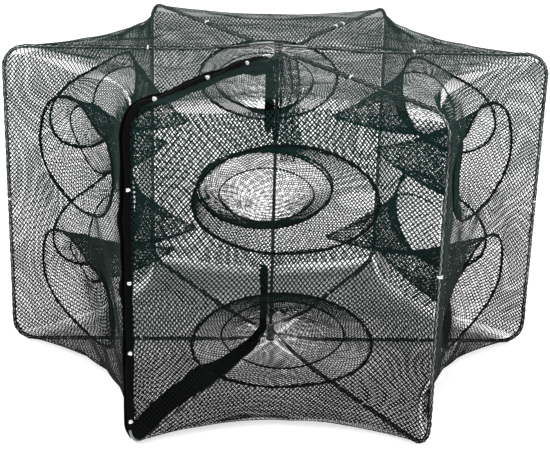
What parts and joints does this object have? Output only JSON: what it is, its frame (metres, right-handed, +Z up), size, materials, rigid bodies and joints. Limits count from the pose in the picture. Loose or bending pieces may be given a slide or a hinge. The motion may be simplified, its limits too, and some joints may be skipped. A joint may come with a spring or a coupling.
{
  "type": "folding crab trap",
  "caption": "Hexagonal net trap on wire pages that fold together like a book round a centre rod, with oval funnel entrances in every side and a black closing band.",
  "frame": {"origin": "on the floor under the centre rod, at the centre of the hexagon", "axes": "+Z up along the centre rod, +X along the right page, +Y to the back; the closing band is on the front left page"},
  "size_m": [0.95, 0.8236, 0.572],
  "materials": {
    "steel_wire": "bright spring wire, seen through a net sleeve",
    "netting": "dark green knotless diamond mesh",
    "mouth_cord": "dark cord bound with netting",
    "closing_tape": "black hook and loop tape",
    "rod_cap": "black plastic cap"
  },
  "bodies": {
    "page_back_right": {"frame_back_right": "steel_wire", "centre_rod": "steel_wire", "rod_cap": "rod_cap", "top_net_back_right": "netting", "bottom_net_back_right": "netting", "side_net_back_right": "netting", "mouth_ring_lower_back_right": "mouth_cord", "funnel_lower_back_right": "netting", "mouth_ring_upper_back_right": "mouth_cord", "funnel_upper_back_right": "netting", "top_net_back": "netting", "bottom_net_back": "netting", "side_net_back": "netting", "mouth_ring_lower_back": "mouth_cord", "funnel_lower_back": "netting", "mouth_ring_upper_back": "mouth_cord", "funnel_upper_back": "netting"},
    "page_right": {"frame_right": "steel_wire", "top_net_front_right": "netting", "bottom_net_front_right": "netting", "side_net_front_right": "netting", "mouth_ring_lower_front_right": "mouth_cord", "funnel_lower_front_right": "netting", "mouth_ring_upper_front_right": "mouth_cord", "funnel_upper_front_right": "netting"},
    "page_front_right": {"frame_front_right": "steel_wire", "top_net_front": "netting", "bottom_net_front": "netting", "side_net_front": "netting", "mouth_ring_lower_front": "mouth_cord", "funnel_lower_front": "netting", "mouth_ring_upper_front": "mouth_cord", "funnel_upper_front": "netting"},
    "page_front_left": {"frame_front_left": "steel_wire", "closing_tape_hook": "closing_tape"},
    "page_back_left": {"frame_back_left": "steel_wire", "top_net_back_left": "netting", "bottom_net_back_left": "netting", "side_net_back_left": "netting", "mouth_ring_lower_back_left": "mouth_cord", "funnel_lower_back_left": "netting", "mouth_ring_upper_back_left": "mouth_cord", "funnel_upper_back_left": "netting"},
    "page_left": {"frame_left": "steel_wire", "top_net_front_left": "netting", "bottom_net_front_left": "netting", "side_net_front_left": "netting", "mouth_ring_lower_front_left": "mouth_cord", "funnel_lower_front_left": "netting", "mouth_ring_upper_front_left": "mouth_cord", "funnel_upper_front_left": "netting"},
    "free_edge": {"closing_tape_loop": "closing_tape"}
  },
  "joints": [
    {"name": "fold_right", "type": "hinge", "parent": "page_back_right", "child": "page_right", "pos_m": [0, 0, 0.28], "axis": [0, 0, 1], "range_deg": [0, 56], "deforming": ["top_net_back_right", "bottom_net_back_right", "side_net_back_right", "mouth_ring_lower_back_right", "funnel_lower_back_right", "mouth_ring_upper_back_right", "funnel_upper_back_right"]},
    {"name": "fold_front_right", "type": "hinge", "parent": "page_right", "child": "page_front_right", "pos_m": [0, 0, 0.28], "axis": [0, 0, 1], "range_deg": [0, 56], "deforming": ["top_net_front_right", "bottom_net_front_right", "side_net_front_right", "mouth_ring_lower_front_right", "funnel_lower_front_right", "mouth_ring_upper_front_right", "funnel_upper_front_right"]},
    {"name": "fold_front_left", "type": "hinge", "parent": "page_front_right", "child": "page_front_left", "pos_m": [0, 0, 0.28], "axis": [0, 0, 1], "range_deg": [0, 54], "deforming": ["top_net_front", "bottom_net_front", "side_net_front", "mouth_ring_lower_front", "funnel_lower_front", "mouth_ring_upper_front", "funnel_upper_front"]},
    {"name": "fold_back_left", "type": "hinge", "parent": "page_back_right", "child": "page_back_left", "pos_m": [0, 0, 0.28], "axis": [0, 0, 1], "range_deg": [-56, 0], "deforming": ["top_net_back", "bottom_net_back", "side_net_back", "mouth_ring_lower_back", "funnel_lower_back", "mouth_ring_upper_back", "funnel_upper_back"]},
    {"name": "fold_left", "type": "hinge", "parent": "page_back_left", "child": "page_left", "pos_m": [0, 0, 0.28], "axis": [0, 0, 1], "range_deg": [-56, 0], "deforming": ["top_net_back_left", "bottom_net_back_left", "side_net_back_left", "mouth_ring_lower_back_left", "funnel_lower_back_left", "mouth_ring_upper_back_left", "funnel_upper_back_left"]},
    {"name": "fold_free_edge", "type": "hinge", "parent": "page_left", "child": "free_edge", "pos_m": [0, 0, 0.28], "axis": [0, 0, 1], "range_deg": [-52, 0], "deforming": ["top_net_front_left", "bottom_net_front_left", "side_net_front_left", "mouth_ring_lower_front_left", "funnel_lower_front_left", "mouth_ring_upper_front_left", "funnel_upper_front_left"]}
  ],
  "couplings": [
    {"joint": "fold_front_right", "follows": "fold_right", "ratio": 1},
    {"joint": "fold_front_left", "follows": "fold_right", "ratio": 0.9643},
    {"joint": "fold_back_left", "follows": "fold_right", "ratio": -1},
    {"joint": "fold_left", "follows": "fold_right", "ratio": -1},
    {"joint": "fold_free_edge", "follows": "fold_right", "ratio": -0.9286}
  ]
}
